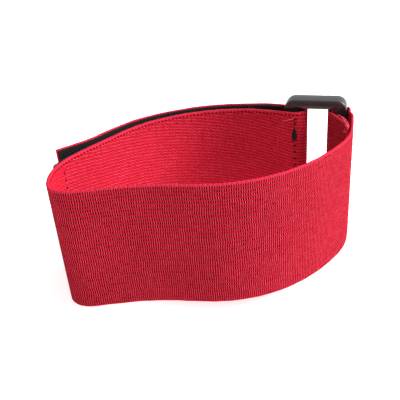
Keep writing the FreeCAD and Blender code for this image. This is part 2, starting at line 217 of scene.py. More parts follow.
def tubes(name, curves, radius, mat, sides=5, taper=None, colour=None, caps=True):
    """Round threads along many polylines (row metres), one mesh. Radius in mm."""
    V, F, TT = [], [], []
    base = 0
    for ci, c in enumerate(curves):
        c = np.asarray(c, float)
        n = len(c)
        d = np.gradient(c, axis=0)
        d /= np.linalg.norm(d, axis=1)[:, None] + 1e-12
        ref = np.array([0.0, 0.0, 1.0]) if abs(d[:, 2]).mean() < 0.8 else np.array([1.0, 0.0, 0.0])
        a = np.cross(d, ref); a /= np.linalg.norm(a, axis=1)[:, None] + 1e-12
        b = np.cross(d, a)
        r = (radius[ci] if hasattr(radius, "__len__") else radius) / 1000.0
        rr = np.full(n, r) if taper is None else r * taper(np.linspace(0, 1, n))
        ang = np.arange(sides) * 2 * math.pi / sides
        ring = c[:, None, :] + rr[:, None, None] * (a[:, None, :] * np.cos(ang)[None, :, None]
                                                     + b[:, None, :] * np.sin(ang)[None, :, None])
        V.append(ring.reshape(-1, 3))
        i = np.arange(n - 1)[:, None] * sides
        j = np.arange(sides)[None, :]
        q = np.stack([base + i + j, base + i + (j + 1) % sides,
                      base + i + sides + (j + 1) % sides, base + i + sides + j], -1).reshape(-1, 4)
        F.append(q)
        TT.append(np.repeat(rng(ci).uniform(), n * sides))
        base += n * sides
        if caps:
            cap = np.array([c[0] - d[0] * rr[0] * 0.6, c[-1] + d[-1] * rr[-1] * 0.6])
            V.append(cap)
            TT.append(np.repeat(rng(ci).uniform(), 2))
            s0 = base - n * sides
            e0 = base - sides
            jj = np.arange(sides)
            F.append(np.stack([np.full(sides, base), s0 + (jj + 1) % sides, s0 + jj, np.full(sides, base)], -1))
            F.append(np.stack([np.full(sides, base + 1), e0 + jj, e0 + (jj + 1) % sides, np.full(sides, base + 1)], -1))
            base += 2
    V = np.vstack(V)
    quads = np.vstack([f for f in F])
    # caps are triangles: keep them apart from the quads
    tri = quads[quads[:, 0] == quads[:, 3]][:, :3]
    quad = quads[quads[:, 0] != quads[:, 3]]
    me = bpy.data.meshes.new(name)
    me.vertices.add(len(V)); me.vertices.foreach_set("co", V.astype(np.float32).ravel())
    idx = np.r_[quad.ravel(), tri.ravel()]
    me.loops.add(len(idx)); me.loops.foreach_set("vertex_index", idx.astype(np.int32))
    npoly = len(quad) + len(tri)
    me.polygons.add(npoly)
    me.polygons.foreach_set("loop_start", np.r_[np.arange(len(quad)) * 4, len(quad) * 4 + np.arange(len(tri)) * 3].astype(np.int32))
    me.polygons.foreach_set("loop_total", np.r_[np.full(len(quad), 4), np.full(len(tri), 3)].astype(np.int32))
    me.update(calc_edges=True)
    at = me.attributes.new("tone", "FLOAT", "POINT")
    at.data.foreach_set("value", np.concatenate(TT).astype(np.float32))
    me.materials.append(mat)
    me.polygons.foreach_set("use_smooth", np.ones(npoly, bool))
    me.validate(clean_customdata=False)
    me.update()
    o = bpy.data.objects.new(name, me)
    bpy.context.scene.collection.objects.link(o)
    return o


# ------------------------------------------------------------------ node helpers
class G:
    def __init__(self, name):
        self.mat = bpy.data.materials.new(name)
        self.mat.use_nodes = True
        self.nt = self.mat.node_tree
        self.nt.nodes.clear()
        self.out = self.nt.nodes.new("ShaderNodeOutputMaterial")
        self.bsdf = self.nt.nodes.new("ShaderNodeBsdfPrincipled")
        self.nt.links.new(self.bsdf.outputs[0], self.out.inputs[0])

    def put(self, sock, v):
        if isinstance(v, bpy.types.NodeSocket):
            self.nt.links.new(v, sock)
        elif v is not None:
            sock.default_value = v

    def m(self, op, a, b=None, c=None, clamp=False):
        n = self.nt.nodes.new("ShaderNodeMath"); n.operation = op; n.use_clamp = clamp
        for i, v in enumerate((a, b, c)):
            if v is not None:
                self.put(n.inputs[i], v)
        return n.outputs[0]

    def step(self, x, e0, e1, o0=0.0, o1=1.0):
        n = self.nt.nodes.new("ShaderNodeMapRange"); n.interpolation_type = "SMOOTHSTEP"
        self.put(n.inputs[0], x)
        for i, v in enumerate((e0, e1, o0, o1)):
            n.inputs[i + 1].default_value = v
        return n.outputs[0]

    def mix(self, f, a, b, mode="MIX"):
        n = self.nt.nodes.new("ShaderNodeMix"); n.data_type = "RGBA"; n.blend_type = mode
        self.put(n.inputs[0], f); self.put(n.inputs[6], a); self.put(n.inputs[7], b)
        return n.outputs[2]

    def uv(self):
        n = self.nt.nodes.new("ShaderNodeUVMap"); n.uv_map = "weave"
        s = self.nt.nodes.new("ShaderNodeSeparateXYZ")
        self.nt.links.new(n.outputs[0], s.inputs[0])
        return s.outputs[0], s.outputs[1]

    def vec(self, x, y, z=0.0):
        n = self.nt.nodes.new("ShaderNodeCombineXYZ")
        self.put(n.inputs[0], x); self.put(n.inputs[1], y); self.put(n.inputs[2], z)
        return n.outputs[0]

    def noise(self, vec, scale=1.0, detail=2.0, rough=0.5):
        n = self.nt.nodes.new("ShaderNodeTexNoise")
        self.put(n.inputs["Vector"], vec)
        n.inputs["Scale"].default_value = scale
        n.inputs["Detail"].default_value = detail
        n.inputs["Roughness"].default_value = rough
        return n.outputs[0]

    def white(self, vec):
        n = self.nt.nodes.new("ShaderNodeTexWhiteNoise"); n.noise_dimensions = "3D"
        self.put(n.inputs["Vector"], vec)
        return n.outputs[0]

    def attr(self, name):
        n = self.nt.nodes.new("ShaderNodeAttribute"); n.attribute_name = name
        return n.outputs["Fac"]

    def object_vec(self):
        n = self.nt.nodes.new("ShaderNodeTexCoord")
        return n.outputs["Object"]

    def bump(self, height, dist, strength=1.0):
        n = self.nt.nodes.new("ShaderNodeBump")
        n.inputs["Strength"].default_value = strength
        n.inputs["Distance"].default_value = dist
        self.put(n.inputs["Height"], height)
        self.nt.links.new(n.outputs[0], self.bsdf.inputs["Normal"])

    def set(self, **kw):
        for k, v in kw.items():
            self.put(self.bsdf.inputs[k.replace("_", " ")], v)


def col(r, g, b):
    f = lambda c: (c / 255 / 12.92) if c / 255 <= 0.04045 else ((c / 255 + 0.055) / 1.055) ** 2.4
    return (f(r), f(g), f(b), 1.0)


S_TAPE = s_loop0 + 2.4                  # the tape seam: the elastic is drawn tighter beyond it


def elastic_material():
    """Woven rib elastic. The UV map counts weave cells: u columns, v rows;
    v 0..35 is the outer face, 100..135 the inner face, 200.. the selvedges."""
    g = G("woven_elastic")
    u, v = g.uv()
    inner = g.m("GREATER_THAN", v, 60.0)
    edge = g.m("GREATER_THAN", v, 160.0)
    v0 = g.m("SUBTRACT", v, g.m("MULTIPLY", inner, 100.0))
    v0 = g.m("SUBTRACT", v0, g.m("MULTIPLY", edge, 100.0))
    wob = g.noise(g.vec(g.m("MULTIPLY", u, 0.10), g.m("MULTIPLY", v, 0.30)), 1.0, 2.0)
    wob2 = g.noise(g.vec(g.m("MULTIPLY", u, 0.12), g.m("MULTIPLY", v, 0.35), 7.0), 1.0, 2.0)
    uu = g.m("ADD", u, g.m("MULTIPLY", g.m("SUBTRACT", wob2, 0.5), 1.3))
    vv = g.m("ADD", v0, g.m("MULTIPLY", g.m("SUBTRACT", wob, 0.5), 0.26))
    fu = g.m("ABSOLUTE", g.m("SUBTRACT", g.m("FRACT", uu), 0.5))
    fv = g.m("ABSOLUTE", g.m("SUBTRACT", g.m("FRACT", vv), 0.5))
    cell = g.white(g.vec(g.m("FLOOR", uu), g.m("FLOOR", vv), 3.0))
    cell2 = g.white(g.vec(g.m("FLOOR", uu), g.m("FLOOR", vv), 9.0))
    slow = g.noise(g.vec(g.m("MULTIPLY", u, 0.05), g.m("MULTIPLY", v, 0.11), 3.0), 1.0, 3.0)
    # outer face: a dark gap between the picks in every cell, then a flat rib
    hole = g.m("MULTIPLY", g.step(fu, 0.37, 0.20), g.step(fv, 0.42, 0.26))
    hole = g.m("MULTIPLY", hole, g.m("ADD", 0.82, g.m("MULTIPLY", cell, 0.18)))
    hole = g.m("MULTIPLY", hole, g.step(slow, 0.28, 0.50, 0.93, 1.0))
    pick = g.m("MULTIPLY", g.step(fu, 0.29, 0.42), g.step(fv, 0.38, 0.24))
    pick = g.m("MULTIPLY", pick, g.m("ADD", 0.45, g.m("MULTIPLY", cell2, 0.60)), clamp=True)
    groove = g.step(fv, 0.45, 0.15)
    # inner face: short slanting floats with broken dark lines between them
    wl = g.noise(g.vec(g.m("MULTIPLY", u, 0.16), g.m("MULTIPLY", v, 0.7), 2.0), 1.0, 3.0)
    vi = g.m("ADD", g.m("ADD", v0, g.m("MULTIPLY", u, 0.11)), g.m("MULTIPLY", g.m("SUBTRACT", wl, 0.5), 0.8))
    fvi = g.m("ABSOLUTE", g.m("SUBTRACT", g.m("FRACT", vi), 0.5))
    brk = g.noise(g.vec(g.m("MULTIPLY", u, 0.60), g.m("MULTIPLY", g.m("FLOOR", vi), 3.7), 5.0), 1.0, 1.0)
    taped = g.step(u, S_TAPE / COL - 0.6, S_TAPE / COL + 0.9)
    line = g.m("MULTIPLY", g.step(fvi, 0.20, 0.03), g.step(brk, 0.42, 0.60, 0.10, 1.0))
    line = g.m("MULTIPLY", line, g.m("ADD", 0.22, g.m("MULTIPLY", taped, 0.78)))
    icell = g.white(g.vec(g.m("FLOOR", g.m("MULTIPLY", uu, 0.5)), g.m("FLOOR", vi), 4.0))
    fl = g.m("MULTIPLY", g.step(fvi, 0.26, 0.48), g.m("ADD", 0.25, g.m("MULTIPLY", icell, 0.75)))
    dash = g.m("MULTIPLY", g.step(fu, 0.18, 0.46), 0.30)
    # selvedge: a dark bite every second column, just below the bound edge
    near = g.m("MINIMUM", v0, g.m("SUBTRACT", 35.0, v0))
    fe = g.m("ABSOLUTE", g.m("SUBTRACT", g.m("FRACT", g.m("MULTIPLY", u, 0.5)), 0.5))
    bite = g.m("MULTIPLY", g.step(fe, 0.32, 0.14),
               g.m("MULTIPLY", g.step(near, 0.15, 0.35), g.step(near, 1.05, 0.75)))
    bite = g.m("MULTIPLY", bite, g.m("SUBTRACT", 1.0, edge))
    # painted highlight: both faces are lightened in a thin line along each selvedge edge, standing in for light
    # catching the edge
    painted_rim_highlight = g.step(near, 0.40, 0.12)
    # colours
    mott = g.noise(g.vec(g.m("MULTIPLY", u, 0.035), g.m("MULTIPLY", v, 0.06), 1.0), 1.0, 4.0)
    fine = g.noise(g.vec(g.m("MULTIPLY", u, 1.9), g.m("MULTIPLY", v, 1.5), 1.0), 1.0, 2.0)
    outer_c = g.mix(groove, col(178, 24, 44), col(148, 2, 20))
    outer_c = g.mix(pick, outer_c, col(224, 84, 102))
    outer_c = g.mix(hole, outer_c, col(66, 0, 2))
    # painted highlight along the selvedge edges of the outer face
    outer_c = g.mix(g.m("MULTIPLY", painted_rim_highlight, 0.7), outer_c, col(196, 44, 64))
    inner_c = g.mix(g.m("MULTIPLY", fl, g.m("ADD", 0.45, g.m("MULTIPLY", taped, 0.55))), col(198, 36, 58), col(232, 82, 102))
    inner_c = g.mix(dash, inner_c, col(178, 28, 48))
    inner_c = g.mix(g.m("MULTIPLY", line, 0.34), inner_c, col(128, 4, 22))
    dot = g.m("MULTIPLY", g.step(fu, 0.34, 0.12), g.step(g.m("ABSOLUTE", g.m("SUBTRACT", g.m("FRACT", g.m("ADD", vv, g.m("MULTIPLY", g.m("FLOOR", uu), 0.5))), 0.5)), 0.30, 0.12))
    inner_c = g.mix(g.m("MULTIPLY", dot, 0.62), inner_c, col(132, 0, 18))
    soft = g.step(g.white(g.vec(g.m("FLOOR", g.m("MULTIPLY", u, 2.0)), g.m("FLOOR", g.m("MULTIPLY", v, 3.0)), 2.0)), 0.0, 1.0, 0.0, 0.28)
    inner_c = g.mix(soft, inner_c, col(176, 24, 44))
    # painted highlight along the selvedge edges of the inner face
    inner_c = g.mix(g.m("MULTIPLY", painted_rim_highlight, 0.8), inner_c, col(222, 58, 82))
    inner_c = g.mix(g.m("MULTIPLY", bite, 0.85), inner_c, col(112, 0, 14))
    c = g.mix(inner, outer_c, inner_c)
    rope = g.m("ABSOLUTE", g.m("SUBTRACT", g.m("FRACT", g.m("MULTIPLY", u, 0.5)), 0.5))
    edge_c = g.mix(g.step(rope, 0.10, 0.40), col(190, 36, 58), col(200, 44, 66))
    c = g.mix(edge, c, edge_c)
    tone = g.m("ADD", 0.84, g.m("MULTIPLY", mott, 0.32))
    tone = g.m("MULTIPLY", tone, g.m("ADD", 0.88, g.m("MULTIPLY", fine, 0.24)))
    t3 = g.nt.nodes.new("ShaderNodeCombineColor")
    for i in range(3):
        g.put(t3.inputs[i], tone)
    c = g.mix(1.0, c, t3.outputs[0], "MULTIPLY")
    g.set(Base_Color=c)
    g.bsdf.inputs["Roughness"].default_value = 0.82
    g.bsdf.inputs["Specular IOR Level"].default_value = 0.0
    g.bsdf.inputs["Sheen Weight"].default_value = 0.01
    g.bsdf.inputs["Sheen Roughness"].default_value = 0.5
    g.bsdf.inputs["Sheen Tint"].default_value = (1.0, 0.35, 0.42, 1.0)
    ho = g.m("SUBTRACT", g.m("MULTIPLY", pick, 0.5), g.m("ADD", hole, g.m("MULTIPLY", groove, 0.3)))
    hi_ = g.m("SUBTRACT", g.m("MULTIPLY", fl, 0.35), g.m("MAXIMUM", g.m("MAXIMUM", g.m("MULTIPLY", line, 0.5), g.m("MULTIPLY", dot, 0.8)), bite))
    h = g.m("ADD", g.m("MULTIPLY", ho, g.m("SUBTRACT", 1.0, inner)), g.m("MULTIPLY", hi_, inner))
    h = g.m("ADD", h, g.m("MULTIPLY", fine, 0.25))
    g.bump(h, 0.00016, 0.8)
    return g.mat


def thread_material(name, rgb, rgb2, rough=0.6):
    g = G(name)
    tn = g.attr("tone")
    ob = g.object_vec()
    n = g.noise(ob, 5200.0, 2.0)
    c = g.mix(g.m("MULTIPLY", g.m("ADD", tn, n), 0.5), col(*rgb), col(*rgb2))
    g.set(Base_Color=c)
    g.bsdf.inputs["Roughness"].default_value = rough
    g.bsdf.inputs["Specular IOR Level"].default_value = 0.12
    w = g.nt.nodes.new("ShaderNodeTexWave"); w.wave_type = "BANDS"; w.bands_direction = "DIAGONAL"
    g.put(w.inputs["Vector"], ob); w.inputs["Scale"].default_value = 1400.0
    g.bump(w.outputs[1], 0.00004, 0.5)
    return g.mat


def tape_material(name, a, b, scale):
    g = G(name)
    u, v = g.uv()
    n = g.noise(g.vec(g.m("MULTIPLY", u, scale), g.m("MULTIPLY", v, scale)), 1.0, 4.0, 0.65)
    n2 = g.noise(g.vec(g.m("MULTIPLY", u, scale * 0.08), g.m("MULTIPLY", v, scale * 0.08), 3.0), 1.0, 3.0)
    wv = g.m("MULTIPLY", g.m("ADD", 1.0, g.m("SINE", g.m("MULTIPLY", v, 18.0))), 0.5)
    f = g.m("MULTIPLY", g.m("ADD", n, g.m("MULTIPLY", n2, 0.5)), 0.66)
    c = g.mix(f, col(*a), col(*b))
    g.set(Base_Color=c)
    g.bsdf.inputs["Roughness"].default_value = 0.88
    g.bsdf.inputs["Specular IOR Level"].default_value = 0.15
    g.bump(g.m("ADD", n, g.m("MULTIPLY", wv, 0.4)), 0.0002, 0.7)
    return g.mat


def fibre_material(name, a, b, rough):
    g = G(name)
    c = g.mix(g.attr("tone"), col(*a), col(*b))
    n = g.noise(g.object_vec(), 3000.0, 2.0)
    c = g.mix(g.m("MULTIPLY", n, 0.35), c, col(*b))
    g.set(Base_Color=c)
    g.bsdf.inputs["Roughness"].default_value = rough
    return g.mat


def plastic_material():
    g = G("moulded_plastic")
    ob = g.object_vec()
    n = g.noise(ob, 260.0, 5.0, 0.6)
    grain = g.noise(ob, 5200.0, 3.0, 0.6)
    scuff = g.step(g.noise(ob, 520.0, 4.0, 0.7), 0.58, 0.72)
    c = g.mix(n, col(30, 29, 31), col(46, 45, 46))
    c = g.mix(g.m("MULTIPLY", scuff, 0.35), c, col(88, 88, 86))
    g.set(Base_Color=c)
    r = g.m("ADD", 0.34, g.m("ADD", g.m("MULTIPLY", n, 0.10), g.m("MULTIPLY", scuff, 0.12)))
    g.set(Roughness=r)
    g.bsdf.inputs["Specular IOR Level"].default_value = 0.62
    g.bsdf.inputs["Coat Weight"].default_value = 0.12
    g.bsdf.inputs["Coat Roughness"].default_value = 0.25
    g.bump(g.m("ADD", grain, g.m("MULTIPLY", n, 1.5)), 0.00005, 0.55)
    return g.mat


M_EL = elastic_material()
M_PL = plastic_material()
M_HOOKB = tape_material("hook_tape_base", (8, 8, 9), (30, 30, 31), 2.2)
M_LOOPB = tape_material("loop_tape_base", (8, 8, 9), (28, 28, 30), 2.8)
M_HOOK = fibre_material("hook_monofilament", (12, 12, 13), (40, 40, 41), 0.5)
M_LOOP = fibre_material("loop_pile", (10, 10, 11), (34, 34, 36), 0.85)
M_DARK = thread_material("dark_thread", (140, 12, 32), (172, 24, 48))
M_DARK2 = thread_material("dark_thread_column", (56, 4, 14), (92, 10, 24))
M_BLACK = thread_material("black_thread", (22, 18, 18), (48, 40, 40))
M_PINK = thread_material("red_thread", (226, 52, 78), (246, 110, 130))


# ------------------------------------------------------------------ woven strip
def section(relief=True):
    """Closed section of the elastic: rows of (d, z, v) with d outwards, z up."""
    P = []
    per = 3
    n = 35 * per
    r = 0.34                                  # selvedge rounding
    for k in range(n + 1):                   # outer face, bottom to top
        v = k / per
        z = r + (W - 2 * r) * k / n
        P.append((+1, z, v, 0))
    for a in (60, 30, 0, -30, -60):
        P.append((math.sin(math.radians(a)), W - r + r * math.cos(math.radians(a)), 200.0 + 34.9, 2))
    for k in range(n + 1):                   # inner face, top to bottom
        v = 35.0 - k / per
        z = W - r - (W - 2 * r) * k / n
        P.append((-1, z, 100.0 + v, 1))
    for a in (-60, -30, 0, 30, 60):
        P.append((math.sin(math.radians(a)), r - r * math.cos(math.radians(a)), 200.0 + 0.1, 2))
    return P


SEC = section()


def weave_strip(name, s0, s1, cap0=True, cap1=True):
    """One length of the strap's elastic, with its ribs and gaps in the mesh."""
    step = COL
    k0, k1 = int(round(s0 / step)), int(round(s1 / step))
    s = np.arange(k0, k1 + 1) * step
    s[0], s[-1] = s0, s1
    S = len(s)
    p, t, m = strip.at(s)
    sd = np.array([q[0] for q in SEC]); sz = np.array([q[1] for q in SEC])
    sv = np.array([q[2] for q in SEC]); zone = np.array([q[3] for q in SEC])
    N = len(SEC)
    u = s / COL
    # relief
    vb = np.where(zone == 0, sv, np.where(zone == 1, sv - 100, 0.0))
    rib = 0.5 + 0.5 * np.cos(2 * np.pi * vb)             # 1 on the ribs, 0 along the gaps
    face = (zone < 2).astype(float)
    fade = np.clip(np.minimum(vb, 35 - vb) / 0.8, 0, 1) * face
    dr = np.zeros((S, N))
    dr -= ((zone == 0) * fade * 0.09 * (1 - rib))[None, :]
    twill = 0.5 + 0.5 * np.cos(2 * np.pi * (vb[None, :] + 0.11 * u[:, None]))
    dr -= ((zone == 1) * fade)[None, :] * 0.016 * (1 - twill)
    R = rng(11)
    dr += (R.uniform(-1, 1, (S, N)) * 0.006) * face[None, :]
    base = np.where(zone == 2, 0.0, T2)
    # half thickness: face and selvedge both at T2
    d = np.abs(sd)[None, :] * np.where(zone == 2, T2 * 1.0, T2)[None, :] + dr
    d = d * np.sign(sd)[None, :] * OUT
    d = np.where(np.abs(sd)[None, :] < 1e-9, 0.0, d)
    # slow waviness of the edge; the face's waviness is computed but scaled to nothing
    sw = np.interp(s, np.linspace(0, strip.length, 400), smooth_noise(400, 46, 3)) * 0.07
    ew = np.interp(s, np.linspace(0, strip.length, 900), smooth_noise(900, 150, 5)) * 0.07
    ew2 = np.interp(s, np.linspace(0, strip.length, 900), smooth_noise(900, 130, 6)) * 0.07
    Z = np.repeat(sz[None, :], S, 0)
    top = np.clip((Z - (W - 1.6)) / 1.6, 0, 1); bot = np.clip((1.6 - Z) / 1.6, 0, 1)
    notch = 0.5 - 0.5 * np.cos(np.pi * u)                # every second column
    Z = Z + top * (ew[:, None] - 0.018 * (1 - notch)[:, None] * (top > 0.7)) - bot * (ew2[:, None] - 0.018 * (1 - notch)[:, None] * (bot > 0.7))
    Z = np.clip(Z, -0.02, W + 0.05)
    D = d + sw[:, None] * 0.0
    X = p[:, 0:1] + m[:, 0:1] * D
    Y = p[:, 1:2] + m[:, 1:2] * D
    V = place(np.stack([X, Y, Z], -1)).reshape(-1, 3)
    i = np.arange(S - 1)[:, None]; j = np.arange(N)[None, :]
    j2 = (j + 1) % N
    F = np.stack([i * N + j, (i + 1) * N + j, (i + 1) * N + j2, i * N + j2], -1)
    if OUT > 0:
        F = F[..., ::-1]
    # loop UVs, so that each face's cells stay in its own band of v
    vj = sv.copy()
    UVu = np.repeat(u[:, None], N, 1)
    ua, ub = UVu[:-1], UVu[1:]
    va = np.repeat(vj[None, :], S - 1, 0)
    vb2 = np.repeat(np.roll(vj, -1)[None, :], S - 1, 0)
    zj, zk = zone, np.roll(zone, -1)
    mixed = (zj != zk) | (zj == 2)
    low = (sz < 1.0)
    ev = np.where(low, 200.1, 234.9)
    va = np.where(mixed[None, :], ev[None, :], va)
    vb2 = np.where(mixed[None, :], ev[None, :], vb2)
    quad_uv = np.stack([np.stack([ua, va], -1), np.stack([ub, va], -1), np.stack([ub, vb2], -1), np.stack([ua, vb2], -1)], 2)
    if OUT > 0:
        quad_uv = quad_uv[:, :, ::-1]
    F = F.reshape(-1, 4); quad_uv = quad_uv.reshape(-1, 2)
    # ends: the section shut across its thickness
    caps, cuv, tris, tuv = [], [], [], []
    n1 = 35 * 3 + 1
    for end, do in ((0, cap0), (S - 1, cap1)):
        if not do:
            continue
        turn = (end == 0) == (OUT > 0)
        e = end * N
        chain_a = list(range(0, n1)) + [n1, n1 + 1]                      # outer face, then two selvedge points
        chain_b = [0] * 0
        # matching points of the inner side, from the bottom up
        inner_ids = [n1 + 5 + (n1 - 1 - k) for k in range(n1)] + [n1 + 4, n1 + 3]
        for k in range(len(chain_a) - 1):
            q = [e + chain_a[k], e + chain_a[k + 1], e + inner_ids[k + 1], e + inner_ids[k]]
            caps.append(q[::-1] if turn else q)
            cuv += [[u[end], 250 + k / 3]] * 4
        t = [e + n1 + 1, e + n1 + 2, e + n1 + 3]
        tris.append(t[::-1] if turn else t); tuv += [[u[end], 250.0]] * 3
        b0 = 2 * n1 + 5                                                  # bottom selvedge points b0..b0+4
        q = [e + b0 + 4, e + 0, e + 2 * n1 + 4, e + b0]
        caps.append(q[::-1] if turn else q); cuv += [[u[end], 250.0]] * 4
        q = [e + b0 + 3, e + b0 + 4, e + b0, e + b0 + 1]
        caps.append(q[::-1] if turn else q); cuv += [[u[end], 250.0]] * 4
        t = [e + b0 + 3, e + b0 + 1, e + b0 + 2]
        tris.append(t[::-1] if turn else t); tuv += [[u[end], 250.0]] * 3
    nside = len(F)
    F = np.vstack([F, np.array(caps)])
    quad_uv = np.vstack([quad_uv, np.array(cuv)])
    o = make_mesh(name, V, F, M_EL, uv=quad_uv, tris=tris, tri_uv=tuv, flat_from=nside)
    return o


def slab(name, path, s0, s1, d0, d1, z0, z1, mat, step=0.8, zstep=1.1, ends=0.0, sign=1.0, rough=0.04, seed=1, bevel=0.18):
    """A tape: closed strip between two offsets of a path. d in mm along sign*normal."""
    n = max(6, int(abs(s1 - s0) / step))
    s = np.linspace(s0, s1, n + 1)
    p, t, m = path.at(s)
    nz = max(6, int((z1 - z0) / zstep))
    zz = np.linspace(z0 + bevel, z1 - bevel, nz + 1)
    sec = [(d0 + bevel * 0.3, z0)] + [(d0, z) for z in zz] + [(d0 + bevel * 0.3, z1)] + [(d1 - bevel, z1)] + [(d1, z) for z in zz[::-1]] + [(d1 - bevel, z0)]
    sec = np.array(sec)
    N = len(sec)
    R = rng(seed)
    jit = R.normal(0, rough, (n + 1, N))
    D = sec[None, :, 0] + jit * (np.abs(sec[None, :, 0] - d1) < bevel * 1.1)
    Z = sec[None, :, 1] + R.normal(0, rough * 0.7, (n + 1, N)) * ((sec[None, :, 1] < z0 + 0.01) | (sec[None, :, 1] > z1 - 0.01))
    X = p[:, 0:1] + m[:, 0:1] * D * sign
    Y = p[:, 1:2] + m[:, 1:2] * D * sign
    V = place(np.stack([X, Y, np.broadcast_to(Z, X.shape)], -1)).reshape(-1, 3)
    i = np.arange(n)[:, None]; j = np.arange(N)[None, :]; j2 = (j + 1) % N
    F = np.stack([i * N + j, (i + 1) * N + j, (i + 1) * N + j2, i * N + j2], -1).reshape(-1, 4)
    if (sign * (s1 - s0)) < 0:
        F = F[:, ::-1]
    arc = np.r_[0, np.cumsum(np.linalg.norm(np.diff(sec, axis=0), axis=1))]
    uvv = np.stack([np.repeat(s[:, None], N, 1), np.repeat(arc[None, :], n + 1, 0)], -1).reshape(-1, 2)
    # end caps as strips across the thickness
    caps = []
    half = N // 2
    for e in (0, n):
        for k in range(half - 1):
            q = [e * N + k, e * N + k + 1, e * N + N - 2 - k, e * N + N - 1 - k]
            if (e == 0) == ((sign * (s1 - s0)) > 0):
                q = q[::-1]
            caps.append(q)
    F = np.vstack([F, np.array(caps)])
    o = make_mesh(name, V, F, mat, uv=uvv)
    return o


def surf(path, s, z, d, sign):
    p, t, m = path.at(s)
    p = np.atleast_2d(p); m = np.atleast_2d(m)
    z = np.atleast_1d(z); d = np.atleast_1d(d)
    return np.stack([p[:, 0] + m[:, 0] * d * sign, p[:, 1] + m[:, 1] * d * sign, np.broadcast_to(z, p[:, 0].shape)], -1)


def stitch_row(path, s0, s1, z, sign, pitch=2.55, length=1.25, dip=0.16, lift=0.10, n=6, face=T2, seed=0):
    """Thread arcs along the strap: each rises out of the weave and dives back."""
    out = []
    k = max(1, int(round(abs(s1 - s0) / pitch)))
    R = rng(seed)
    for i in range(k + 1):
        c = s0 + (s1 - s0) * i / k
        q = np.linspace(-0.5, 0.5, n)
        l = length * R.uniform(0.85, 1.12)
        d = face - dip + (dip + lift) * np.cos(q * math.pi) ** 0.5
        zz = z + q * R.uniform(-0.10, 0.10)
        out.append(place(surf(path, c + q * l, zz, d, sign)))
    return out


def stitch_col(path, s, z0, z1, sign, pitch=2.55, length=1.15, dip=0.16, lift=0.10, n=6, face=T2, seed=0):
    out = []
    k = max(1, int(round((z1 - z0) / pitch)))
    R = rng(seed)
    for i in range(k + 1):
        c = z0 + (z1 - z0) * i / k
        q = np.linspace(-0.5, 0.5, n)
        l = length * R.uniform(0.85, 1.12)
        d = face - dip + (dip + lift) * np.cos(q * math.pi) ** 0.5
        out.append(place(surf(path, s + q * R.uniform(-0.12, 0.12), c + q * l, d, sign)))
    return out


# ------------------------------------------------------------------ strap pieces
mid_a = S_END + (CUT[0] + CUT[1]) / 2 - CUT[0]
mid_b = S_END + (CUT[1] + CUT[2]) / 2 - CUT[0]
S_STUB = S_END - 3.2                       # in the fold, still wholly on the band
snap = lambda s: round(s / COL) * COL
mid_a, mid_b, S_STUB = snap(mid_a), snap(mid_b), snap(S_STUB)
T_END = strip.length

strap = weave_strip("strap_band", 0.0, S_STUB)
tail1 = weave_strip("strap_tail_root", S_STUB, mid_a)
tail2 = weave_strip("strap_tail_middle", mid_a, mid_b)
tail3 = weave_strip("strap_tail_tip", mid_b, T_END)


def joint(name):
    j = next(x for x in frame["record"]["behaviour"]["joints"] if x["name"] == name)
    return j


def around(k, half, back=None):
    """Start and end points of a blend, `half` mm each side of hinge line k, in the row frame."""
    c = CUT[k]
    a = tail.at(c - (back if back is not None else half))[0]
    b = tail.at(c + half)[0]
    o = tail.at(c)[0]
    d = np.array(b) - np.array(a)
    d /= np.linalg.norm(d)
    a = np.array(o) - d * (back if back is not None else half)
    b = np.array(o) + d * half
    return tuple(place([a[0], a[1], W / 2])), tuple(place([b[0], b[1], W / 2]))


BL = [("band", "tail_a") + around(0, 5.0, 1.2), ("tail_a", "tail_b") + around(1, 6.5), ("tail_b", "tail_c") + around(2, 6.5)]


def bend(o):
    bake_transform(o)


ZT = (W - TAPE_W) / 2
# loop tape: woven base, and the pile on it
loop_base = slab("loop_tape_base", band, s_loop0, s_thin, T2 + 0.01, T2 + 0.95, ZT, ZT + TAPE_W, M_LOOPB,
                 sign=OUT, rough=0.05, seed=21)
loop_thin = slab("loop_tape_end", band, s_thin - 0.3, s_loop1, T2 + 0.01, T2 + THIN - 0.12, ZT + 0.1, ZT + TAPE_W - 0.1, M_LOOPB,
                 sign=OUT, rough=0.01, seed=22, bevel=0.08)
R = rng(31)
loops, rad = [], []
L = s_thin - s_loop0
count = 5200
for i in range(count):
    s = s_loop0 + 0.5 + R.uniform() * (L - 1.0)
    z = ZT + 0.5 + R.uniform() * (TAPE_W - 1.0)
    if R.uniform() < 0.10:                      # a denser fringe along both edges
        z = ZT + 0.25 + abs(R.normal(0, 0.25)) if R.uniform() < 0.5 else ZT + TAPE_W - 0.25 - abs(R.normal(0, 0.25))
    a = R.uniform(0, math.pi)
    w = R.uniform(0.35, 0.75)
    h = R.uniform(0.45, 0.85)
    q = np.linspace(-1, 1, 6)
    lean = R.uniform(-0.3, 0.3, 2)
    ss = s + np.cos(a) * q * w / 2 + lean[0] * (1 - q * q)
    zz = z + np.sin(a) * q * w / 2 + lean[1] * (1 - q * q)
    dd = T2 + 0.85 + h * np.sqrt(np.clip(1 - q * q * 0.98, 0, 1))
    loops.append(place(surf(band, ss, zz, dd, OUT)))
pile = tubes("loop_tape_pile", loops, 0.055, M_LOOP, sides=3, caps=False)

# hook tape, in three lengths that overlap the strap's own pieces
def tail_s(x):
    """strip arc length to tail arc length"""
    return x - S_END + t0


